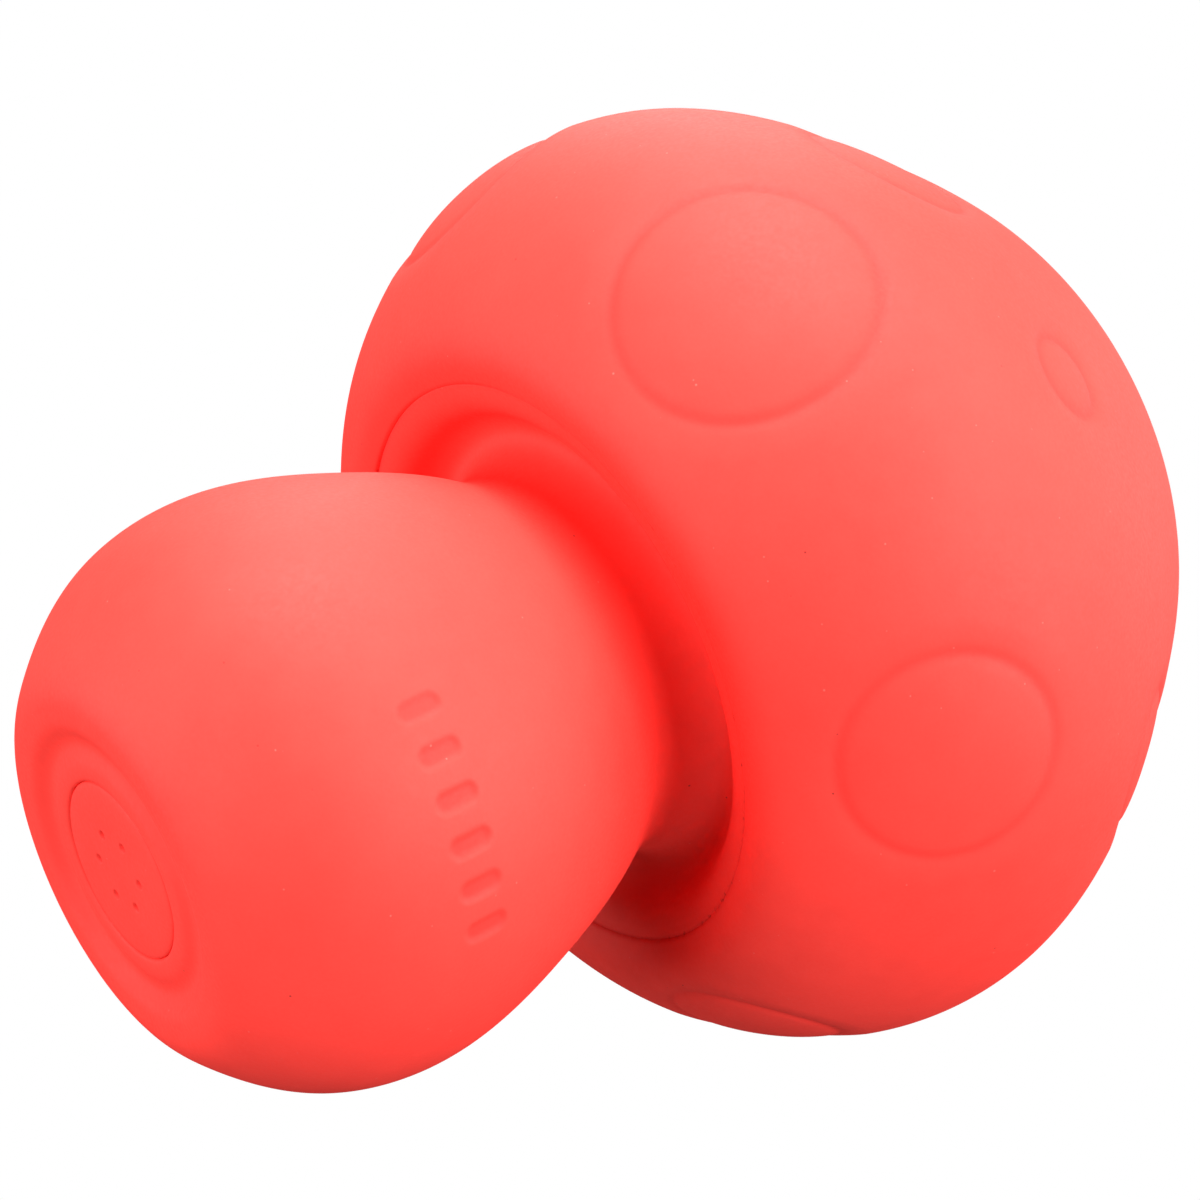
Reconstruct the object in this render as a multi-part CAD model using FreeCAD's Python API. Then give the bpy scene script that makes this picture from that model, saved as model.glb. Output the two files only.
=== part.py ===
"""Mushroom-shaped hollow rubber squeaky toy, standing upright on the foot of its stem.

Two soft shells (spotted cap and pear-shaped stem) meet at a seam around the neck.
A plug closes the stem's base and carries a reed squeaker, which sounds when the toy is squeezed.
Millimetres, +Z up through the cap's crown, origin at the middle of the base.
"""
import FreeCAD
import Part
import math
import os

# ---- driving dimensions -------------------------------------------------------------------
CROWN_HEIGHT = 105.0
SEAM_RADIUS = 26.9
SEAM_HEIGHT = 45.4
COLLAR_TOP = 53.0
GLUE_TONGUE_WIDTH = 3.2
GLUE_TONGUE_TOP = 50.4
TONGUE_OVERLAP = 1.0

FOOT_INNER_RADIUS = 13.2
FOOT_OUTER_RADIUS = 14.8
RECESS_RADIUS = 11.6
RECESS_DEPTH = 1.2
RECESS_HALF_WIDTH = 0.4
PLATEAU_RADIUS = 10.2
PLATEAU_HEIGHT = 0.5
FLOOR_TOP = 4.0

# how far a cutting tool reaches past the material
PAST = 1.0

# outer outline of the stem above its foot, as (radius, height)
STEM_OUTLINE = [
    (FOOT_OUTER_RADIUS, 0.0), (19.4, 2.6), (24.5, 9.3), (26.45, 18.4), (23.9, 31.0),
    (20.0, 40.3), (18.3, 45.4), (20.7, 49.3), (22.5, 48.0), (24.0, 46.5), (25.4, 45.8),
    (SEAM_RADIUS, SEAM_HEIGHT),
]
STEM_END_SLOPE = (1.0, -0.35)
# outer outline of the cap from the seam over the rim to the crown
CAP_OUTLINE = [
    (SEAM_RADIUS, SEAM_HEIGHT), (29.2, 44.7), (33.7, 46.4), (39.2, 51.8), (43.9, 61.2),
    (44.3, 71.2), (39.6, 82.2), (33.6, 91.2), (26.6, 99.0), (14.0, 103.4), (0.0, CROWN_HEIGHT),
]
# outline of the hollow inside both shells
CAVITY_OUTLINE = [
    (11.0, FLOOR_TOP), (18.6, 5.6), (22.4, 11.6), (23.3, 19.0), (20.8, 30.6),
    (17.1, 40.6), (15.2, 46.4), (17.6, 51.6), (23.6, 51.2), (28.4, 47.6),
    (32.8, 49.2), (37.2, 54.0), (40.9, 62.6), (41.1, 70.6), (36.6, 80.4),
    (30.9, 89.2), (24.4, 96.0), (13.4, 100.5), (0.0, 101.8),
]

# spots on the cap: (azimuth in degrees from +X, height of the centre, crease radius)
SPOTS = [
    (-120.6, 56.8, 11.3), (-60.0, 55.9, 9.6), (179.0, 60.0, 9.0), (5.6, 51.2, 8.0),
    (62.0, 55.0, 10.2), (121.0, 54.0, 9.0),
    (-95.5, 81.2, 4.4), (-134.8, 83.5, 7.6), (-40.0, 83.0, 6.4), (28.0, 80.0, 8.0),
    (92.0, 82.0, 6.0), (156.0, 85.0, 7.4), (70.0, 101.5, 6.6),
]
CREASE_WIDTH = 0.9
CREASE_DEPTH = 0.5

# a row of plain round-ended bars pressed into the belly of the stem
MARK_COUNT = 6
MARK_FIRST_AZIMUTH = -94.0
MARK_STEP = 8.4
MARK_MIDDLE_HEIGHT = 18.6
MARK_LENGTH = 4.0
MARK_WIDTH = 1.3
MARK_DEPTH = 0.45

# base plug and its squeaker
PLUG_RADIUS = 8.0
PLUG_EDGE_CHAMFER = 0.35
PLUG_LIP_RADIUS = 10.2
PLUG_LIP_TOP = 5.6
SOCKET_TOP = 12.0
SOCKET_RADIUS = 5.6
CHAMBER_RADIUS = 4.6
CHAMBER_FLOOR = 2.0
CHAMBER_TOP = 4.4
VENT_COUNT = 6
VENT_CIRCLE_RADIUS = 3.3
VENT_RADIUS = 0.5

HOUSING_WALL = 0.9
HOUSING_TOP = 17.0
SEAT_DISC_TOP = 6.4
SEAT_AIRWAY_RADIUS = 1.3
SEAT_RADIUS = 2.5
SEAT_TOP = 15.6
SEAT_CHANNEL_TOP = 14.6
SEAT_FACE_Y = -0.4
REED_WIDTH = 3.4
REED_THICKNESS = 0.2
REED_GAP = 0.15
REED_BOTTOM = 6.8
REED_TOP = 14.9
CLIP_WIDTH = 4.4
CLIP_TOP = 8.0
CLIP_DEPTH = 1.6
CLIP_SLOT_GAP = 0.2


def vector(radius, height):
    """A point of a profile, drawn in the XZ plane."""
    return FreeCAD.Vector(radius, 0, height)


def smooth(points, start=None, end=None):
    """A smooth curve through profile points, with optional end directions."""
    curve = Part.BSplineCurve()
    places = [vector(*point) for point in points]
    if start:
        first = vector(*start).normalize()
        last = vector(*end).normalize()
        curve.interpolate(Points=places, InitialTangent=first, FinalTangent=last, Scale=False)
    else:
        curve.interpolate(Points=places)
    return curve


def line(start, end):
    return Part.makeLine(vector(*start), vector(*end))


def path(points):
    return [line(a, b) for a, b in zip(points, points[1:])]


def revolve(edges):
    """Turn a closed profile about the Z axis into a solid."""
    face = Part.Face(Part.Wire(Part.__sortEdges__(edges)))
    turned = face.revolve(FreeCAD.Vector(0, 0, 0), FreeCAD.Vector(0, 0, 1), 360)
    solid = Part.Solid(turned.Shells[0]) if not turned.Solids else turned.Solids[0]
    if solid.Volume < 0:
        solid.reverse()
    return solid


def polygon_ring(points):
    """A turned solid whose profile is a closed polygon."""
    return revolve(path(points + [points[0]]))


def cylinder(radius, bottom, top):
    return Part.makeCylinder(radius, top - bottom, FreeCAD.Vector(0, 0, bottom))


def outward(curve, place):
    """The outward direction of a profile curve at one of its points, as (radius, height)."""
    along = curve.tangent(curve.parameter(vector(*place)))[0]
    return along.z, -along.x


def inset(curve, depth, samples=40):
    """The profile curve moved into the material by a small depth."""
    first, last = curve.FirstParameter, curve.LastParameter
    points = []
    for step in range(samples + 1):
        parameter = first + (last - first) * step / samples
        place = curve.value(parameter)
        along = curve.tangent(parameter)[0]
        points.append((max(place.x - depth * along.z, 0.0), place.z + depth * along.x))
    return smooth(points)


def skin(curve, depth):
    """A thin turned layer just under a profile curve, reaching a little outside it."""
    inner = inset(curve, depth)
    outer = inset(curve, -PAST)
    ends = [
        Part.makeLine(inner.value(inner.FirstParameter), outer.value(outer.FirstParameter)),
        Part.makeLine(inner.value(inner.LastParameter), outer.value(outer.LastParameter)),
    ]
    ends = [edge for edge in ends if edge.Length > 1e-6]
    return revolve([inner.toShape(), outer.toShape()] + ends)


def place_on(shape, azimuth, point, normal):
    """Stand a shape, built along +Z at the origin, on a turned surface at an azimuth."""
    shape = shape.copy()
    tilt = math.degrees(math.atan2(normal[0], normal[1]))
    shape.rotate(FreeCAD.Vector(0, 0, 0), FreeCAD.Vector(0, 1, 0), tilt)
    shape.translate(vector(*point))
    shape.rotate(FreeCAD.Vector(0, 0, 0), FreeCAD.Vector(0, 0, 1), azimuth)
    return shape


def profile_point(curve, height, steps=400):
    """The (radius, height) point where a profile curve first rises past a height."""
    first, last = curve.FirstParameter, curve.LastParameter
    for step in range(steps):
        low = curve.value(first + (last - first) * step / steps)
        high = curve.value(first + (last - first) * (step + 1) / steps)
        if low.z <= height < high.z:
            share = (height - low.z) / (high.z - low.z)
            return low.x + (high.x - low.x) * share, height
    raise ValueError("the profile never reaches this height")


def build_shells():
    """The two rubber shells, cut apart at the seam."""
    stem_curve = smooth(STEM_OUTLINE, (1.0, 0.0), STEM_END_SLOPE)
    cap_curve = smooth(CAP_OUTLINE, STEM_END_SLOPE, (-1.0, 0.0))
    foot = [
        (0.0, PLATEAU_HEIGHT), (PLATEAU_RADIUS, PLATEAU_HEIGHT),
        (RECESS_RADIUS - RECESS_HALF_WIDTH, RECESS_DEPTH),
        (RECESS_RADIUS + RECESS_HALF_WIDTH, RECESS_DEPTH),
        (FOOT_INNER_RADIUS, 0.0), (FOOT_OUTER_RADIUS, 0.0),
    ]
    axis = line((0.0, PLATEAU_HEIGHT), (0.0, CROWN_HEIGHT))
    outside = revolve(path(foot) + [stem_curve.toShape(), cap_curve.toShape(), axis])
    cavity_curve = smooth(CAVITY_OUTLINE, (1.0, 0.0), (-1.0, 0.0))
    hollow = revolve([
        cavity_curve.toShape(),
        line((0.0, CAVITY_OUTLINE[-1][1]), (0.0, FLOOR_TOP)),
        line((0.0, FLOOR_TOP), CAVITY_OUTLINE[0]),
    ])
    walls = outside.cut(hollow)
    inside_seam = cylinder(SEAM_RADIUS, -PAST, COLLAR_TOP)
    cap = walls.cut(inside_seam)
    stem = walls.common(inside_seam)
    tongue = cylinder(SEAM_RADIUS + GLUE_TONGUE_WIDTH, SEAM_HEIGHT, GLUE_TONGUE_TOP)
    tongue = tongue.common(hollow).cut(cylinder(SEAM_RADIUS - TONGUE_OVERLAP, 0.0, COLLAR_TOP))
    stem = stem.fuse(tongue).cut(cap).removeSplitter()
    return stem, cap, stem_curve, cap_curve


def press_spots(cap, cap_curve):
    """Crease a ring around each spot of the cap."""
    layer = skin(cap_curve, CREASE_DEPTH)
    for azimuth, height, radius in SPOTS:
        place = profile_point(cap_curve, height)
        ring = cylinder(radius + CREASE_WIDTH / 2, -radius, radius)
        ring = ring.cut(cylinder(radius - CREASE_WIDTH / 2, -radius, radius))
        ring = place_on(ring, azimuth, place, outward(cap_curve, place))
        cap = cap.cut(ring.common(layer))
    return cap


def press_marks(stem, stem_curve):
    """Press the row of round-ended bars into the belly."""
    layer = skin(stem_curve, MARK_DEPTH)
    belly_radius = profile_point(stem_curve, MARK_MIDDLE_HEIGHT)[0]
    half = (MARK_LENGTH - MARK_WIDTH) / 2
    reach = MARK_LENGTH / 2
    bar = Part.makeBox(
        2 * reach, MARK_WIDTH, 2 * half, FreeCAD.Vector(-reach, -MARK_WIDTH / 2, -half))
    for end in (-half, half):
        tip = Part.makeCylinder(
            MARK_WIDTH / 2, 2 * reach, FreeCAD.Vector(-reach, 0, end), FreeCAD.Vector(1, 0, 0))
        bar = bar.fuse(tip)
    bar = bar.removeSplitter()
    for index in range(MARK_COUNT):
        azimuth = MARK_FIRST_AZIMUTH + MARK_STEP * index
        shape = bar.copy()
        shape.translate(FreeCAD.Vector(belly_radius, 0, MARK_MIDDLE_HEIGHT))
        shape.rotate(FreeCAD.Vector(0, 0, 0), FreeCAD.Vector(0, 0, 1), azimuth)
        stem = stem.cut(shape.common(layer))
    return stem


def plug_hole():
    """The hole through the stem's base, with a chamfered outer edge."""
    hole = cylinder(PLUG_RADIUS, -PAST, FLOOR_TOP + PAST)
    rise = PLUG_EDGE_CHAMFER + PAST
    edge = Part.makeCone(
        PLUG_RADIUS + rise, PLUG_RADIUS, rise, FreeCAD.Vector(0, 0, PLATEAU_HEIGHT - PAST))
    return hole.fuse(edge)


def build_plug():
    """Rubber plug: face disc, lip behind the base wall, socket and vent holes."""
    face = PLATEAU_HEIGHT
    plug = polygon_ring([
        (0.0, face), (PLUG_RADIUS - PLUG_EDGE_CHAMFER, face), (PLUG_RADIUS, face + PLUG_EDGE_CHAMFER),
        (PLUG_RADIUS, FLOOR_TOP), (PLUG_LIP_RADIUS, FLOOR_TOP), (PLUG_LIP_RADIUS, PLUG_LIP_TOP),
        (PLUG_RADIUS, PLUG_LIP_TOP), (PLUG_RADIUS, SOCKET_TOP), (SOCKET_RADIUS, SOCKET_TOP),
        (SOCKET_RADIUS, CHAMBER_TOP), (CHAMBER_RADIUS, CHAMBER_TOP), (CHAMBER_RADIUS, CHAMBER_FLOOR),
        (0.0, CHAMBER_FLOOR),
    ])
    for index in range(VENT_COUNT):
        angle = 2 * math.pi * index / VENT_COUNT
        centre = FreeCAD.Vector(
            VENT_CIRCLE_RADIUS * math.cos(angle), VENT_CIRCLE_RADIUS * math.sin(angle), 0)
        plug = plug.cut(Part.makeCylinder(VENT_RADIUS, CHAMBER_FLOOR + PAST, centre))
    return plug


def build_housing():
    """Open plastic sleeve that protects the reed."""
    inner = SOCKET_RADIUS - HOUSING_WALL
    sleeve = cylinder(SOCKET_RADIUS, CHAMBER_TOP, HOUSING_TOP)
    return sleeve.cut(cylinder(inner, CHAMBER_TOP, HOUSING_TOP))


def build_seat():
    """Reed seat: a disc in the sleeve and a half-round stem with an air channel."""
    disc = cylinder(SOCKET_RADIUS - HOUSING_WALL, CHAMBER_TOP, SEAT_DISC_TOP)
    half_round = cylinder(SEAT_RADIUS, CHAMBER_TOP, SEAT_TOP)
    wide = 4 * SEAT_RADIUS
    front = Part.makeBox(
        wide, wide, SEAT_TOP, FreeCAD.Vector(-wide / 2, SEAT_FACE_Y - wide, SEAT_DISC_TOP))
    seat = disc.fuse(half_round.cut(front)).removeSplitter()
    airway = cylinder(SEAT_AIRWAY_RADIUS, CHAMBER_TOP, SEAT_DISC_TOP)
    channel = cylinder(SEAT_AIRWAY_RADIUS, SEAT_DISC_TOP, SEAT_CHANNEL_TOP)
    return seat.cut(airway).cut(channel)


def reed_front():
    """The Y place of the reed's outer face."""
    return SEAT_FACE_Y - REED_GAP - REED_THICKNESS


def build_reed():
    """Thin tongue that buzzes against the seat."""
    return Part.makeBox(
        REED_WIDTH, REED_THICKNESS, REED_TOP - REED_BOTTOM,
        FreeCAD.Vector(-REED_WIDTH / 2, reed_front(), REED_BOTTOM))


def build_clip():
    """Small block that traps the reed's root against the seat."""
    clip = Part.makeBox(
        CLIP_WIDTH, CLIP_DEPTH, CLIP_TOP - SEAT_DISC_TOP,
        FreeCAD.Vector(-CLIP_WIDTH / 2, SEAT_FACE_Y - CLIP_DEPTH, SEAT_DISC_TOP))
    slot_width = REED_WIDTH + 2 * CLIP_SLOT_GAP
    slot_depth = REED_GAP * 2 + REED_THICKNESS
    slot = Part.makeBox(
        slot_width, slot_depth, CLIP_TOP,
        FreeCAD.Vector(-slot_width / 2, SEAT_FACE_Y - slot_depth, SEAT_DISC_TOP + CLIP_SLOT_GAP))
    return clip.cut(slot)


def main():
    os.makedirs("parts", exist_ok=True)
    stem, cap, stem_curve, cap_curve = build_shells()
    stem = press_marks(stem.cut(plug_hole()), stem_curve)
    parts = {
        "cap_shell": press_spots(cap, cap_curve),
        "stem_shell": stem,
        "base_plug": build_plug(),
        "squeaker_sleeve": build_housing(),
        "reed_seat": build_seat(),
        "reed_clip": build_clip(),
        "reed": build_reed(),
    }
    for name, shape in parts.items():
        solids = shape.Solids
        if len(solids) == 1:
            shape = solids[0]
        print(name, "solids", len(solids), "valid", shape.isValid(), "volume", round(shape.Volume, 1))
        shape.exportStep("parts/" + name + ".step")


main()
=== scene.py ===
"""Looks for the mushroom-shaped rubber squeaky toy. Metres, +Z up, origin under the base."""
import math

import bpy
import numpy as np
from mathutils import Matrix, Vector


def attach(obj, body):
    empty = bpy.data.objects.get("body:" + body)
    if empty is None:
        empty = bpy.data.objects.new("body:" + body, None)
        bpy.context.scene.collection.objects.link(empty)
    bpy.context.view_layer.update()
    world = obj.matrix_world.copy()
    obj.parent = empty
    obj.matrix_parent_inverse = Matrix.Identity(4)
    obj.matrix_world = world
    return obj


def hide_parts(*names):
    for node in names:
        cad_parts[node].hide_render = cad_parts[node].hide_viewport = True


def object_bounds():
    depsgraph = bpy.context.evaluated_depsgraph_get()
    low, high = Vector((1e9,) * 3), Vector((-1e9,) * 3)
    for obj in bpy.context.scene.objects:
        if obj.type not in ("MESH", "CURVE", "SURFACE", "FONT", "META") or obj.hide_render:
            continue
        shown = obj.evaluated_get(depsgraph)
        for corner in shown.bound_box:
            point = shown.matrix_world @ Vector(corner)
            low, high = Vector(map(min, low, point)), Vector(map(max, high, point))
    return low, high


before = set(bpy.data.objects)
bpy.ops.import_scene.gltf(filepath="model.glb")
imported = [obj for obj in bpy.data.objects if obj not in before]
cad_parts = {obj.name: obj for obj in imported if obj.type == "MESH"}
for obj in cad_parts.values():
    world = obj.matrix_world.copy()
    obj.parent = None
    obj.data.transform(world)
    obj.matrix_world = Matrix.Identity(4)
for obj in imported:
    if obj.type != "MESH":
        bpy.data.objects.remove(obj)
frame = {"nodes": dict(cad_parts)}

cad_low, cad_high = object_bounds()

MM = 0.001

# ---- sizes, in millimetres --------------------------------------------------------------------
CROWN_HEIGHT = cad_high.z / MM
SEAM_RADIUS = 26.9
SEAM_HEIGHT = 45.4
TONGUE_RADIUS = 30.1
FIT_GAP = 0.02
MOUTH_RADIUS = SEAM_RADIUS + FIT_GAP
HOLE_RADIUS = 8.0 + FIT_GAP

# profiles, as (radius, height)
STEM_OUTLINE = [
    (14.8, 0.0), (19.4, 2.6), (24.5, 9.3), (26.45, 18.4), (23.9, 31.0), (20.0, 40.3),
    (18.3, 45.3), (21.1, 49.4), (22.9, 48.2), (24.1, 46.6), (25.4, 45.8),
    (SEAM_RADIUS, SEAM_HEIGHT),
]
CAP_OUTLINE = [
    (SEAM_RADIUS, SEAM_HEIGHT), (29.2, 44.7), (33.7, 46.4), (39.2, 51.8), (43.9, 61.2),
    (44.3, 71.2), (39.6, 82.2), (33.6, 91.2), (26.6, 99.0), (14.0, 103.4), (0.0, CROWN_HEIGHT),
]
SEAM_SLOPE = (1.0, -0.35)
FOOT_OUTLINE = [
    (HOLE_RADIUS, 0.8), (8.09, 0.61), (8.35, 0.5), (8.9, 0.47), (9.7, 0.56), (10.5, 0.88),
    (11.3, 0.98), (12.1, 0.66), (13.1, 0.12), (14.0, 0.0), (14.8, 0.0),
]
PLUG_FACE = [(0.0, 0.42), (4.0, 0.45), (7.4, 0.48), (7.75, 0.56), (7.93, 0.68), (7.99, 0.9)]

# profiles inside the toy, where nothing is seen
CAP_HOLLOW = [
    (TONGUE_RADIUS, 47.6), (32.8, 49.2), (37.2, 54.0), (40.9, 62.6), (41.1, 70.6),
    (36.6, 80.4), (30.9, 89.2), (24.4, 96.0), (13.4, 100.5), (0.0, 101.8),
]
CAP_HOLLOW_SLOPE = (1, 0.3)
CAP_MOUTH = [(TONGUE_RADIUS, 47.6), (MOUTH_RADIUS, 47.6), (MOUTH_RADIUS, 46.0)]
STEM_TONGUE = [
    (SEAM_RADIUS - FIT_GAP, 46.0), (SEAM_RADIUS - FIT_GAP, 47.8), (TONGUE_RADIUS - 0.1, 47.8),
    (TONGUE_RADIUS - 0.1, 50.2), (24.0, 51.1),
]
STEM_HOLLOW = [
    (11.0, 4.0), (18.6, 5.6), (22.4, 11.6), (23.3, 19.0), (20.8, 30.6), (17.1, 40.6),
    (15.2, 46.4), (17.6, 51.6), (23.6, 51.2),
]
PLUG_HOLE = [(11.0, 4.0), (HOLE_RADIUS, 4.0), (HOLE_RADIUS, 1.2)]
PLUG_BACK = [
    (7.98, 4.0), (10.2, 4.0), (10.2, 5.6), (8.0, 5.6), (8.0, 12.0), (5.65, 12.0),
    (5.65, 4.4), (4.6, 4.4), (4.6, 2.6), (0.0, 2.6),
]

# spots on the cap: (azimuth in degrees from +X, height of the centre, crease radius)
SPOTS = [
    (-120.6, 56.8, 11.3), (-60.0, 55.9, 9.4), (179.0, 60.0, 9.0), (5.6, 51.2, 8.0),
    (62.0, 55.0, 10.2), (121.0, 54.0, 9.0),
    (-95.5, 81.2, 3.9), (-134.8, 83.5, 7.6), (-40.0, 83.0, 6.4), (28.0, 80.0, 8.0),
    (92.0, 82.0, 6.0), (156.0, 85.0, 7.4), (70.0, 101.5, 6.6),
]
SPOT_DIP = 0.27
SPOT_RIM_POWER = 1.3
SPOT_DOME_POWER = 3
SPOT_REACH = 2  # in crease radii, so that a spot leaves the far side of the cap alone
# strength of the shade painted along a spot's crease
SPOT_SHADE = 0.28
SHOULDER_BASE = 1.6
SHOULDER_SHARE = 0.11
CREASE_DEPTH = 0.115
CREASE_HALF_WIDTH = 0.5

# the seam's groove and the shade painted into it: open toward +Y, nearly closed toward -Y, with
# uneven waves round the axis
SEAM_DEPTH = 0.26
SEAM_HALF_WIDTH = 0.2
SEAM_EDGE_POWER = 1.5
# width of the shade painted along the seam
SEAM_SHADE_WIDTH = 0.3
SEAM_CLOSED_AZIMUTH = -90.0
SEAM_OPEN_MIDDLE = 0.45
SEAM_OPEN_SWING = 0.40
SEAM_WAVES = [(5, 0.15, 1.1), (13, 0.1, 0.4)]  # waves in a turn, height, phase

# row of plain bars pressed into the belly
MARK_COUNT = 6
MARK_FIRST_AZIMUTH = -94.0
MARK_STEP = 8.4
MARK_HEIGHT = 18.6
MARK_LENGTH = 4.0
MARK_WIDTH = 1.8
MARK_DEPTH = 0.24
MARK_FLANK_INSIDE = 0.45
MARK_FLANK_WIDTH = 0.7
# strength of the shade painted inside the pressed bars
MARK_SHADE = 0.35

# round pits in the plug's face
VENT_COUNT = 6
VENT_CIRCLE = 3.3
VENT_RADIUS = 0.42
VENT_DEPTH = 0.4
VENT_FLANK_INSIDE = 0.3
VENT_FLANK_WIDTH = 0.4
# strength of the shade painted inside the pits
VENT_SHADE = 0.5

# how fine the meshes are: steps round the axis, and step lengths along the profiles
CAP_SECTORS = 640
STEM_SECTORS = 720
PLUG_SECTORS = 360
CAP_STEP = 0.45
STEM_STEP = 0.4
FOOT_STEP = 0.2
MARK_ROW_STEP = 0.16
MARK_ROWS_FROM, MARK_ROWS_TO = 15.0, 22.5
SEAM_STEP = 0.1
SEAM_ZONE = 1.2
PLUG_FACE_STEP = 0.09
PLUG_BACK_STEP = 0.5
HOLLOW_STEP = 2.0
JOINT_STEP = 0.8

# ---- material colours and textures ------------------------------------------------------------
CORAL = (0.95, 0.043, 0.032)
# shares of the tint left where shade is painted into folds, grooves and pits
FOLD_SHADE_SHARES = (0.8, 0.25, 0.25)
DUST_COLOUR = (0.95, 0.36, 0.30)
NICK_COLOUR = (0.12, 0.010, 0.008)
GRIME_COLOUR = (0.20, 0.008, 0.006)
SCUFF_COLOUR = (0.55, 0.52, 0.48)
RUBBER_ROUGHNESS = 0.68
SPECULAR = 0.25
NOISE_RANGE = (0.3, 0.7)  # a noise node hardly leaves it
DOT_CORE = 0.4  # share of a dot's radius that is fully covered
RING_CORE = 0.3  # share of a ring's width that is fully covered

# ---- camera -----------------------------------------------------------------------------------
AIM = Vector((-3.47, -4.07, 51.0)) * MM
CAMERA_DISTANCE = 270 * MM
CAMERA_ELEVATION = math.radians(-30.9)
CAMERA_ROLL = math.radians(64.9)
CAMERA_LENS = 90.0
SENSOR_WIDTH = 36.0
CLIP_START = 0.01

# ---- light ------------------------------------------------------------------------------------
LIGHT_TARGET = Vector((0, 0, 50)) * MM
SOFT_BOX_SIZE = 0.35
SOFT_BOX_DISTANCE = 0.6
SOFT_BOX_POWER = 10.0
# name, direction as (right, up, toward the camera), strength in units of SOFT_BOX_POWER
SOFT_BOXES = [
    ("top_light", (0.0, 1.0, 0.3), 0.78),
    ("top_right_light", (0.7, 0.7, 0.3), 0.20),
    ("right_front_light", (0.7, 0.0, 0.7), 0.42),
    ("right_light", (1.0, 0.0, 0.1), 0.20),
    ("right_back_light", (0.8, 0.2, -0.6), 0.06),
    ("left_light", (-1.0, 0.0, 0.1), 0.21),
    ("left_front_light", (-0.7, 0.0, 0.7), 0.22),
    ("back_light", (0.0, 0.8, -0.6), 0.18),
    ("low_light", (0.0, -1.0, 0.2), 0.05),
    ("low_front_light", (0.0, -0.6, 0.8), 0.03),
]
SKY_LIGHT = 0.05
FLOOR_RADIUS = 0.45
FLOOR_CORNERS = 96
FLOOR_ROUGHNESS = 0.8
FLOOR_SPECULAR = 0.1
FLOOR_COLOUR = (0.86, 0.85, 0.84, 1)


def make_camera():
    data = bpy.data.cameras.new("camera")
    data.lens = CAMERA_LENS
    data.sensor_width = SENSOR_WIDTH
    data.clip_start = CLIP_START
    camera = bpy.data.objects.new("camera", data)
    bpy.context.scene.collection.objects.link(camera)
    back = Vector((0, -math.cos(CAMERA_ELEVATION), math.sin(CAMERA_ELEVATION)))
    level = (-back).to_track_quat("-Z", "Y").to_matrix()
    rolled = level @ Matrix.Rotation(CAMERA_ROLL, 3, "Z")
    camera.matrix_world = Matrix.Translation(AIM + back * CAMERA_DISTANCE) @ rolled.to_4x4()
    bpy.context.scene.camera = camera


# ---- curves and turned surfaces ---------------------------------------------------------------
def smooth_curve(points, start=None, end=None, samples=60):
    """A cubic spline through points, set out by chord length, with optional end directions."""
    places = np.array(points, float)
    spans = np.linalg.norm(np.diff(places, axis=0), axis=1)
    count = len(places)
    matrix = np.zeros((count, count))
    right = np.zeros((count, 2))
    for i in range(1, count - 1):
        before, after = spans[i - 1], spans[i]
        matrix[i, i - 1] = 1 / before
        matrix[i, i] = 2 / before + 2 / after
        matrix[i, i + 1] = 1 / after
        rise = (places[i] - places[i - 1]) / before ** 2 + (places[i + 1] - places[i]) / after ** 2
        right[i] = 3 * rise
    for row, near, span, way in ((0, 1, spans[0], start), (count - 1, count - 2, spans[-1], end)):
        if way is None:
            matrix[row, row], matrix[row, near] = 2 / span, 1 / span
            step = places[max(row, near)] - places[min(row, near)]
            right[row] = 3 * step / span ** 2
        else:
            matrix[row, row] = 1
            right[row] = np.array(way, float) / np.linalg.norm(way)
    slopes = np.linalg.solve(matrix, right)
    line = []
    for i, span in enumerate(spans):
        t = np.linspace(0, 1, samples, endpoint=False)[:, None]
        line.append(
            (2 * t ** 3 - 3 * t ** 2 + 1) * places[i] + (t ** 3 - 2 * t ** 2 + t) * span * slopes[i]
            + (3 * t ** 2 - 2 * t ** 3) * places[i + 1] + (t ** 3 - t ** 2) * span * slopes[i + 1])
    line.append(places[-1:])
    return np.concatenate(line)


def even(line, step):
    """The same line with points about one step apart."""
    line = np.asarray(line, float)
    along = np.r_[0, np.cumsum(np.linalg.norm(np.diff(line, axis=0), axis=1))]
    count = max(int(round(along[-1] / step)), 1) + 1
    marks = np.linspace(0, along[-1], count)
    return np.c_[np.interp(marks, along, line[:, 0]), np.interp(marks, along, line[:, 1])]


def chained(*parts):
    """One line from (line, step) parts that start where the one before ends."""
    lines = [even(line, step) for line, step in parts]
    return np.vstack([line[:-1] for line in lines[:-1]] + lines[-1:])


def line_normals(line):
    """Unit normals to the right-hand side of a profile's direction, as (radius, height)."""
    way = np.gradient(line, axis=0)
    way /= np.linalg.norm(way, axis=1)[:, None]
    return np.c_[way[:, 1], -way[:, 0]]


def turn(line, azimuths):
    """Points of a turned profile, as an array of profile point by azimuth by xyz."""
    points = np.empty((len(line), len(azimuths), 3))
    points[..., 0] = line[:, :1] * np.cos(azimuths)
    points[..., 1] = line[:, :1] * np.sin(azimuths)
    points[..., 2] = line[:, 1:2]
    return points


def displaced(line, azimuths, depth):
    """Turned rows pushed inward by a depth per point."""
    return turn(line, azimuths) - turn(line_normals(line), azimuths) * depth[..., None]


def azimuth_ring(count):
    return np.linspace(0, 2 * math.pi, count, endpoint=False)


def ease(value):
    """A smooth step from 0 to 1."""
    t = np.clip(value, 0, 1)
    return t * t * (3 - 2 * t)


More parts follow.
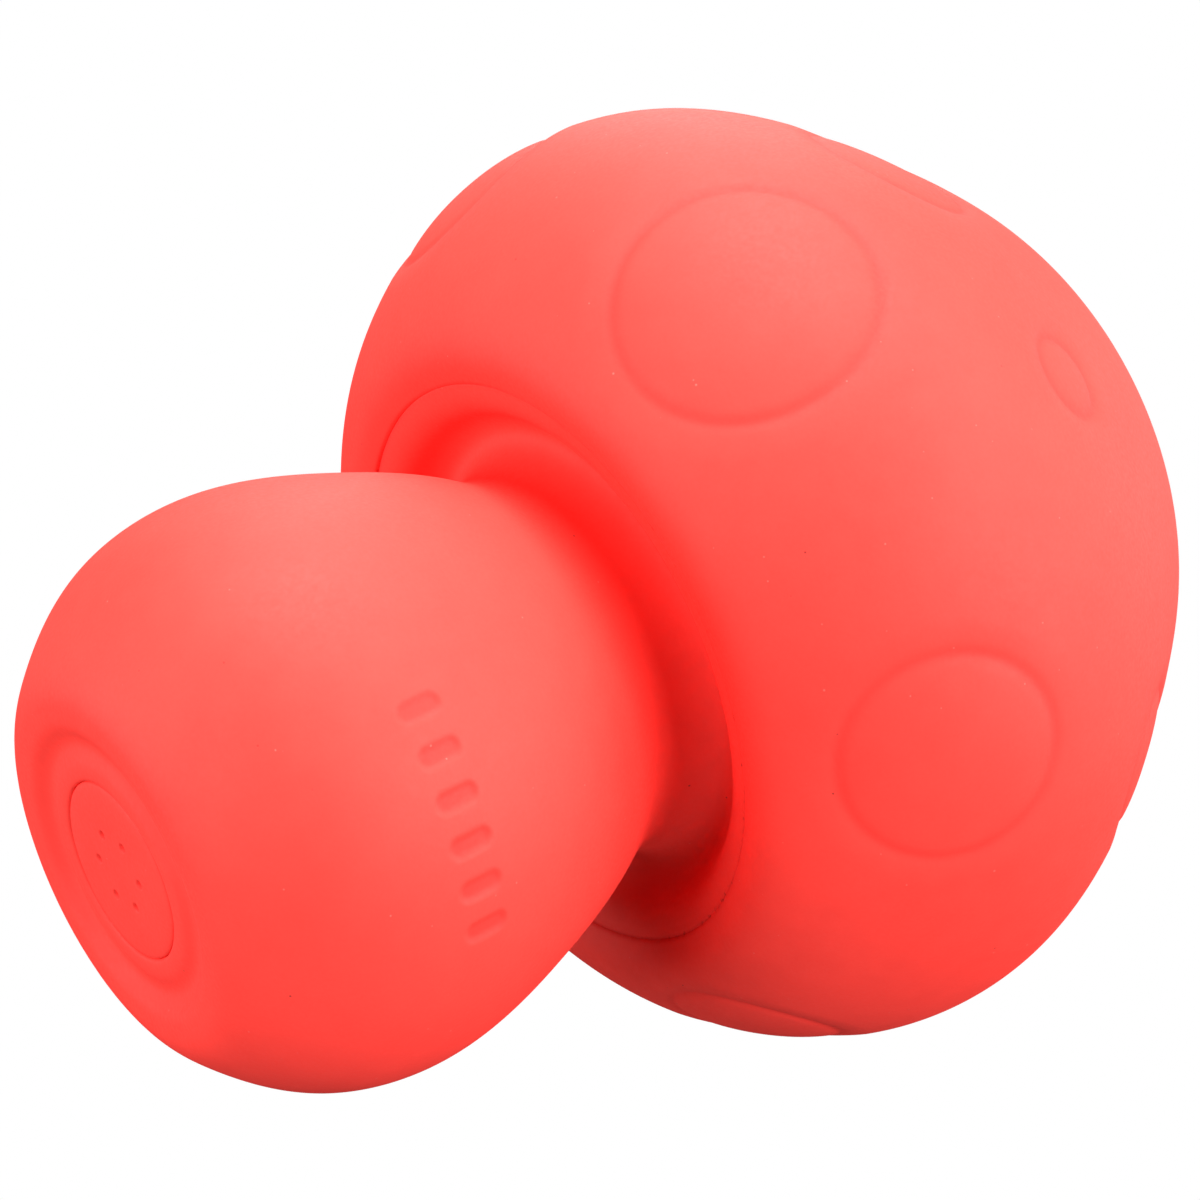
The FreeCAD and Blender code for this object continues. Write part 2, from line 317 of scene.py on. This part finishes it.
def grid_object(name, node, rows, painted_fold_shade, closed_loop=False, poles=False):
    """A mesh from rows of points round the axis, riding on the toy and standing for a CAD node.

    The fourth argument holds, from 0 to 1, the shade painted at each point inside a fold, groove or
    pit, for the material.
    The rows close into a loop, or with poles the first and the last are single points.
    """
    count = rows.shape[1]
    body_rows = slice(1, -1) if poles else slice(None)
    vertices = rows[body_rows].reshape(-1, 3)
    fold_shades = painted_fold_shade[body_rows].reshape(-1)
    height = len(vertices) // count
    ring = np.arange(count)
    after = np.roll(ring, -1)
    faces = []
    for row in range(height if closed_loop else height - 1):
        low, high = row * count, ((row + 1) % height) * count
        faces.append(np.c_[low + ring, low + after, high + after, high + ring])
    quads = np.concatenate(faces).tolist()
    fans = []
    if poles:
        bottom, top, last = len(vertices), len(vertices) + 1, (height - 1) * count
        vertices = np.vstack([vertices, rows[0, 0], rows[-1, 0]])
        fold_shades = np.append(fold_shades, [painted_fold_shade[0, 0], painted_fold_shade[-1, 0]])
        pairs = list(zip(ring.tolist(), after.tolist()))
        fans += [(bottom, b, a) for a, b in pairs]
        fans += [(last + a, last + b, top) for a, b in pairs]
    mesh = bpy.data.meshes.new(name)
    mesh.from_pydata((vertices * MM).tolist(), [], quads + fans)
    # the painted shade per point, which the rubber material reads
    values = mesh.attributes.new("painted_fold_shade", "FLOAT", "POINT").data
    values.foreach_set("value", fold_shades.astype(np.float32))
    mesh.shade_smooth()
    piece = bpy.data.objects.new(name, mesh)
    bpy.context.scene.collection.objects.link(piece)
    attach(piece, "toy")
    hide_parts(node)
    return piece


def seam_groove(line, azimuths):
    """Depth of the fine, uneven groove where cap and stem meet, and the shade painted into it."""
    away = np.linalg.norm(line - np.array([SEAM_RADIUS, SEAM_HEIGHT]), axis=1)[:, None]
    closed = math.radians(SEAM_CLOSED_AZIMUTH)
    uneven = np.ones(len(azimuths))
    for count, height, phase in SEAM_WAVES:
        uneven += height * np.sin(count * azimuths + phase)
    uneven *= SEAM_OPEN_MIDDLE - SEAM_OPEN_SWING * np.cos(azimuths - closed)
    depth = SEAM_DEPTH * np.exp(-(away / SEAM_HALF_WIDTH) ** SEAM_EDGE_POWER) * uneven
    # the second value is painted shade along the seam, as uneven as the groove
    return depth, np.exp(-(away / SEAM_SHADE_WIDTH) ** 2) * uneven


# ---- the cap ----------------------------------------------------------------------------------
def spot_crease(distance, radius):
    """One on a spot's edge, falling off smoothly to either side."""
    return np.exp(-((distance - radius) / CREASE_HALF_WIDTH) ** 2)


def spot_depth(distance, radius):
    """How deep the cap is pressed at a distance from a spot's centre."""
    shoulder = SHOULDER_BASE + SHOULDER_SHARE * radius
    rim = SPOT_DIP * (1 - np.clip((distance - radius) / shoulder, 0, 1)) ** SPOT_RIM_POWER
    dome = SPOT_DIP * (distance / radius) ** SPOT_DOME_POWER
    return np.where(distance > radius, rim, dome) + CREASE_DEPTH * spot_crease(distance, radius)


def rising_point(line, height):
    """The point and outward normal where a profile first rises past a height."""
    normals = line_normals(line)
    above = np.nonzero((line[:-1, 1] <= height) & (line[1:, 1] > height))[0][0]
    return line[above], normals[above]


def press_spots(rows, line):
    """The depth of every spot, and the shade painted along its crease, at every point of the cap.
    """
    depth = np.zeros(rows.shape[:2])
    painted_fold_shade = np.zeros(rows.shape[:2])
    for azimuth, height, radius in SPOTS:
        (r, z), (nr, nz) = rising_point(line, height)
        angle = math.radians(azimuth)
        around = np.array([math.cos(angle), math.sin(angle), 0])
        centre = r * around + np.array([0, 0, z])
        normal = nr * around + np.array([0, 0, nz])
        away = rows - centre
        flat = away - (away @ normal)[..., None] * normal
        distance = np.linalg.norm(flat, axis=-1)
        near = np.linalg.norm(away, axis=-1) < radius * SPOT_REACH
        # painted shade along this spot's crease
        ring_shade = SPOT_SHADE * spot_crease(distance, radius)
        depth = np.maximum(depth, np.where(near, spot_depth(distance, radius), 0))
        painted_fold_shade = np.maximum(painted_fold_shade, np.where(near, ring_shade, 0))
    return depth, painted_fold_shade


def make_cap():
    azimuths = azimuth_ring(CAP_SECTORS)
    outline = smooth_curve(CAP_OUTLINE, SEAM_SLOPE, (-1, 0))
    seam_end = int(np.argmax(np.linalg.norm(outline - outline[0], axis=1) >= SEAM_ZONE)) - 1
    line = chained((outline[:seam_end + 1], SEAM_STEP), (outline[seam_end:], CAP_STEP))
    spots, spot_fold_shade = press_spots(turn(line, azimuths), line)
    seam, seam_fold_shade = seam_groove(line, azimuths)
    outer = displaced(line, azimuths, spots + seam)
    outer[-1] = outer[-1].mean(axis=0)
    hollow = even(smooth_curve(CAP_HOLLOW, CAP_HOLLOW_SLOPE, (-1, 0)), HOLLOW_STEP)[::-1]
    inner = turn(np.vstack([hollow, even(CAP_MOUTH, JOINT_STEP)[1:]]), azimuths)
    rows = np.concatenate([inner, outer])
    # painted shade in the spots' creases and the seam, none on the hidden inside
    painted_fold_shade = np.concatenate([np.zeros(inner.shape[:2]), np.maximum(spot_fold_shade, seam_fold_shade)])
    return grid_object("cap_skin", "cap_shell", rows, painted_fold_shade, poles=True)


# ---- the stem ---------------------------------------------------------------------------------
def mark_depth(rows):
    """Depth of the pressed bars at every point of the stem."""
    angles = np.arctan2(rows[..., 1], rows[..., 0])
    radius = np.hypot(rows[..., 0], rows[..., 1])
    half = (MARK_LENGTH - MARK_WIDTH) / 2
    along = np.maximum(np.abs(rows[..., 2] - MARK_HEIGHT) - half, 0)
    depth = np.zeros(rows.shape[:2])
    for index in range(MARK_COUNT):
        angle = math.radians(MARK_FIRST_AZIMUTH + MARK_STEP * index)
        across = (angles - angle + math.pi) % (2 * math.pi) - math.pi
        distance = np.hypot(across * radius, along) - MARK_WIDTH / 2
        flank = ease((distance + MARK_FLANK_INSIDE) / MARK_FLANK_WIDTH)
        depth = np.maximum(depth, MARK_DEPTH * (1 - flank))
    return depth


def make_stem():
    azimuths = azimuth_ring(STEM_SECTORS)
    foot = smooth_curve(FOOT_OUTLINE, end=(1, 0), samples=20)
    outline = smooth_curve(STEM_OUTLINE, (1, 0), SEAM_SLOPE)
    marks_start = int(np.argmax(outline[:, 1] >= MARK_ROWS_FROM)) - 1
    marks_end = int(np.argmax(outline[:, 1] > MARK_ROWS_TO))
    seam_start = int(np.argmax(np.linalg.norm(outline - outline[-1], axis=1) < SEAM_ZONE))
    line = chained(
        (foot, FOOT_STEP), (outline[:marks_start + 1], STEM_STEP),
        (outline[marks_start:marks_end + 1], MARK_ROW_STEP),
        (outline[marks_end:seam_start + 1], STEM_STEP), (outline[seam_start:], SEAM_STEP))
    marks = mark_depth(turn(line, azimuths))
    seam, seam_fold_shade = seam_groove(line, azimuths)
    outer = displaced(line, azimuths, marks + seam)
    hollow = even(smooth_curve(STEM_HOLLOW), HOLLOW_STEP)[::-1]
    tongue, hole = even(STEM_TONGUE, JOINT_STEP), even(PLUG_HOLE, JOINT_STEP)
    inner = turn(np.vstack([tongue, hollow, hole[1:]]), azimuths)
    rows = np.concatenate([outer, inner])
    # painted shade in the seam and inside the pressed bars
    fold_shades = np.maximum(seam_fold_shade, MARK_SHADE * marks / MARK_DEPTH)
    painted_fold_shade = np.concatenate([fold_shades, np.zeros(inner.shape[:2])])
    return grid_object("stem_skin", "stem_shell", rows, painted_fold_shade, closed_loop=True)


# ---- the plug ---------------------------------------------------------------------------------
def make_plug():
    azimuths = azimuth_ring(PLUG_SECTORS)
    outline = smooth_curve(PLUG_FACE, start=(1, 0), samples=30)
    face = turn(even(outline, PLUG_FACE_STEP), azimuths)
    distance = np.full(face.shape[:2], np.inf)
    for index in range(VENT_COUNT):
        angle = 2 * math.pi * index / VENT_COUNT
        centre = VENT_CIRCLE * np.array([math.cos(angle), math.sin(angle)])
        distance = np.minimum(distance, np.linalg.norm(face[..., :2] - centre, axis=-1))
    vents = 1 - ease((distance - VENT_RADIUS + VENT_FLANK_INSIDE) / VENT_FLANK_WIDTH)
    face[..., 2] += VENT_DEPTH * vents
    back = turn(even(PLUG_BACK, PLUG_BACK_STEP), azimuths)
    rows = np.concatenate([face, back])
    # painted shade inside the pits
    painted_fold_shade = np.concatenate([VENT_SHADE * vents, np.zeros(back.shape[:2])])
    return grid_object("plug_skin", "base_plug", rows, painted_fold_shade, poles=True)


# ---- materials --------------------------------------------------------------------------------
def scaled(tint, factor):
    return tuple(min(factor * part, 1.0) for part in tint)


class Finish:
    """A node material with one Principled shader, built step by step."""

    def __init__(self, name, roughness, specular):
        self.material = bpy.data.materials.new(name)
        self.material.use_nodes = True
        self.nodes = self.material.node_tree.nodes
        self.links = self.material.node_tree.links
        self.shader = self.nodes["Principled BSDF"]
        self.shader.inputs["Roughness"].default_value = roughness
        self.shader.inputs["Specular IOR Level"].default_value = specular
        self.place = self.nodes.new("ShaderNodeTexCoord").outputs["Object"]

    def link(self, value, socket):
        if isinstance(value, bpy.types.NodeSocket):
            self.links.new(value, socket)
        else:
            socket.default_value = value

    def math(self, operation, first, second=0.0):
        node = self.nodes.new("ShaderNodeMath")
        node.operation = operation
        self.link(first, node.inputs[0])
        self.link(second, node.inputs[1])
        return node.outputs[0]

    def noise(self, scale, detail=2.0, roughness=0.5):
        node = self.nodes.new("ShaderNodeTexNoise")
        node.inputs["Scale"].default_value = scale
        node.inputs["Detail"].default_value = detail
        node.inputs["Roughness"].default_value = roughness
        self.links.new(self.place, node.inputs["Vector"])
        return node.outputs["Fac"]

    def dots(self, scale, radius, share):
        """A mask of scattered round dots: radius is in cells, share is how many cells have one."""
        node = self.nodes.new("ShaderNodeTexVoronoi")
        node.inputs["Scale"].default_value = scale
        self.links.new(self.place, node.inputs["Vector"])
        near = self.ramp(node.outputs["Distance"], radius, radius * DOT_CORE)
        pick = self.nodes.new("ShaderNodeSeparateColor")
        self.links.new(node.outputs["Color"], pick.inputs["Color"])
        chosen = self.math("LESS_THAN", pick.outputs["Red"], share)
        return self.math("MULTIPLY", near, chosen)

    # the painted shade of folds, grooves and pits, stored on the meshes
    def painted_fold_shade(self):
        node = self.nodes.new("ShaderNodeAttribute")
        node.attribute_name = "painted_fold_shade"
        return node.outputs["Fac"]

    def ramp(self, value, low, high, to_low=0.0, to_high=1.0):
        """Value mapped from low..high to to_low..to_high and held there outside it."""
        node = self.nodes.new("ShaderNodeMapRange")
        self.link(value, node.inputs["Value"])
        ends = {"From Min": low, "From Max": high, "To Min": to_low, "To Max": to_high}
        for socket, number in ends.items():
            node.inputs[socket].default_value = number
        return node.outputs["Result"]

    def mix(self, share, first, second):
        """Two colours mixed; sockets 6 and 7 are the colour inputs, and output 2 is the colour."""
        node = self.nodes.new("ShaderNodeMix")
        node.data_type = "RGBA"
        self.link(share, node.inputs["Factor"])
        for value, socket in ((first, node.inputs[6]), (second, node.inputs[7])):
            self.link((*value, 1) if isinstance(value, tuple) else value, socket)
        return node.outputs[2]

    def ring_mask(self, radius, height, width):
        """One on a circle about the Z axis, falling to zero at a distance of width from it."""
        split = self.nodes.new("ShaderNodeSeparateXYZ")
        self.links.new(self.place, split.inputs[0])
        square = self.math("ADD", self.math("POWER", split.outputs["X"], 2.0),
                           self.math("POWER", split.outputs["Y"], 2.0))
        across = self.math("SUBTRACT", self.math("SQRT", square), radius)
        along = self.math("SUBTRACT", split.outputs["Z"], height)
        away = self.math("SQRT", self.math("ADD", self.math("POWER", across, 2.0),
                                           self.math("POWER", along, 2.0)))
        return self.ramp(away, width, width * RING_CORE)

    def vary_roughness(self, value, middle, spread):
        varied = self.ramp(value, *NOISE_RANGE, to_low=middle - spread, to_high=middle + spread)
        self.links.new(varied, self.shader.inputs["Roughness"])

    def bump(self, height, depth):
        node = self.nodes.new("ShaderNodeBump")
        node.inputs["Strength"].default_value = 1.0
        node.inputs["Distance"].default_value = depth
        self.links.new(height, node.inputs["Height"])
        self.links.new(node.outputs["Normal"], self.shader.inputs["Normal"])

    def colour(self, value):
        self.links.new(value, self.shader.inputs["Base Color"])
        return self.material


def rubber(name, tint):
    """Soft matte coral rubber: faint clouding, fine grain, dust, grime in the seam, and painted
    shade in folds, grooves and pits.
    """
    finish = Finish(name, RUBBER_ROUGHNESS, SPECULAR)
    cloud = finish.ramp(finish.noise(scale=45.0, detail=4.0, roughness=0.6), 0.32, 0.68)
    colour = finish.mix(cloud, scaled(tint, 0.93), scaled(tint, 1.07))
    mottle = finish.ramp(finish.noise(scale=420.0, detail=3.0), 0.4, 0.75, to_high=0.25)
    colour = finish.mix(mottle, colour, scaled(tint, 1.25))
    # painted shade: a darker, deeper red in the folds, grooves and pits, where shade falls
    fold_shade_colour = tuple(share * part for share, part in zip(FOLD_SHADE_SHARES, tint))
    colour = finish.mix(finish.painted_fold_shade(), colour, fold_shade_colour)
    fine_dust = finish.dots(scale=520.0, radius=0.055, share=0.5)
    coarse_dust = finish.dots(scale=300.0, radius=0.04, share=0.4)
    dust = finish.math("MAXIMUM", fine_dust, coarse_dust)
    colour = finish.mix(finish.math("MULTIPLY", dust, 0.22), colour, DUST_COLOUR)
    nicks = finish.dots(scale=420.0, radius=0.05, share=0.2)
    colour = finish.mix(finish.math("MULTIPLY", nicks, 0.9), colour, NICK_COLOUR)
    seam = finish.ring_mask(SEAM_RADIUS * MM, SEAM_HEIGHT * MM, width=0.3 * MM)
    specks = finish.noise(scale=1300.0, detail=3.0, roughness=0.7)
    grime = finish.ramp(specks, 0.54, 0.68, to_high=0.7)
    patches = finish.ramp(finish.noise(scale=95.0, detail=1.0), 0.42, 0.58)
    grime = finish.math("MULTIPLY", finish.math("MULTIPLY", grime, patches), seam)
    colour = finish.mix(grime, colour, GRIME_COLOUR)
    grain = finish.noise(scale=2600.0)
    finish.vary_roughness(grain, RUBBER_ROUGHNESS, spread=0.06)
    waves = finish.math("MULTIPLY", finish.noise(scale=240.0), 2.2)
    relief = finish.math("ADD", grain, waves)
    relief = finish.math("ADD", relief, finish.math("MULTIPLY", dust, 1.5))
    finish.bump(relief, depth=0.012 * MM)
    return finish.colour(colour)


def moulded_plastic(name, tint, roughness, specular=0.5):
    """Moulded plastic with faint flow marks and a fine moulded grain."""
    finish = Finish(name, roughness, specular)
    flow = finish.ramp(finish.noise(scale=160.0, detail=3.0, roughness=0.6), *NOISE_RANGE)
    colour = finish.mix(flow, scaled(tint, 0.9), tint)
    scuffs = finish.dots(scale=900.0, radius=0.12, share=0.08)
    colour = finish.mix(finish.math("MULTIPLY", scuffs, 0.3), colour, SCUFF_COLOUR)
    grain = finish.noise(scale=5200.0)
    finish.vary_roughness(grain, roughness, spread=0.07)
    finish.bump(grain, depth=0.006 * MM)
    return finish.colour(colour)


def paint(piece, material):
    piece.data.materials.clear()
    piece.data.materials.append(material)


# ---- staging ----------------------------------------------------------------------------------
def soft_box(name, direction, power):
    """A large round light aimed at the toy."""
    axes = bpy.context.scene.camera.matrix_world.to_3x3()
    toward_light = (axes @ Vector(direction)).normalized()
    data = bpy.data.lights.new(name, "AREA")
    data.shape = "DISK"
    data.size = SOFT_BOX_SIZE
    data.energy = power * SOFT_BOX_POWER
    light = bpy.data.objects.new(name, data)
    light.location = LIGHT_TARGET + toward_light * SOFT_BOX_DISTANCE
    light.rotation_euler = toward_light.to_track_quat("Z", "Y").to_euler()
    light.visible_camera = False
    bpy.context.scene.collection.objects.link(light)


def make_world():
    """White behind the toy, and a much weaker white all round for its light."""
    world = bpy.data.worlds.new("world")
    bpy.context.scene.world = world
    world.use_nodes = True
    nodes, links = world.node_tree.nodes, world.node_tree.links
    sky = nodes["Background"]
    sky.inputs["Strength"].default_value = SKY_LIGHT
    backdrop = nodes.new("ShaderNodeBackground")
    for background in (sky, backdrop):
        background.inputs["Color"].default_value = (1, 1, 1, 1)
    rays = nodes.new("ShaderNodeLightPath")
    choice = nodes.new("ShaderNodeMixShader")
    links.new(rays.outputs["Is Camera Ray"], choice.inputs[0])
    links.new(sky.outputs[0], choice.inputs[1])
    links.new(backdrop.outputs[0], choice.inputs[2])
    links.new(choice.outputs[0], nodes["World Output"].inputs["Surface"])


def make_floor():
    """A pale round floor under the toy, seen from above only, so a low camera looks up past it."""
    bpy.ops.mesh.primitive_circle_add(
        vertices=FLOOR_CORNERS, radius=FLOOR_RADIUS, fill_type="NGON")
    floor = bpy.context.object
    floor.name = "floor"
    material = bpy.data.materials.new("floor_look")
    material.use_nodes = True
    nodes, links = material.node_tree.nodes, material.node_tree.links
    shader = nodes["Principled BSDF"]
    shader.inputs["Roughness"].default_value = FLOOR_ROUGHNESS
    shader.inputs["Specular IOR Level"].default_value = FLOOR_SPECULAR
    shader.inputs["Base Color"].default_value = FLOOR_COLOUR
    clear = nodes.new("ShaderNodeBsdfTransparent")
    side = nodes.new("ShaderNodeNewGeometry")
    choice = nodes.new("ShaderNodeMixShader")
    links.new(side.outputs["Backfacing"], choice.inputs[0])
    links.new(shader.outputs[0], choice.inputs[1])
    links.new(clear.outputs[0], choice.inputs[2])
    links.new(choice.outputs[0], nodes["Material Output"].inputs["Surface"])
    floor.data.materials.append(material)
    floor.visible_shadow = False
    floor.visible_diffuse = False
    floor.visible_glossy = False


def make_stage():
    make_world()
    make_floor()
    for name, direction, power in SOFT_BOXES:
        soft_box(name, direction, power)
    bpy.context.scene.view_settings.view_transform = "Standard"


make_camera()
make_stage()
paint(make_cap(), rubber("cap_rubber_look", CORAL))
paint(make_stem(), rubber("stem_rubber_look", CORAL))
paint(make_plug(), rubber("plug_rubber_look", CORAL))
nodes = frame["nodes"]
paint(nodes["squeaker_sleeve"], moulded_plastic("sleeve_look", (0.48, 0.46, 0.42), 0.38))
paint(nodes["reed_seat"], moulded_plastic("seat_look", (0.36, 0.39, 0.43), 0.33))
paint(nodes["reed_clip"], moulded_plastic("clip_look", (0.22, 0.24, 0.28), 0.36))
paint(nodes["reed"], moulded_plastic("film_look", (0.62, 0.58, 0.46), 0.22, specular=0.6))
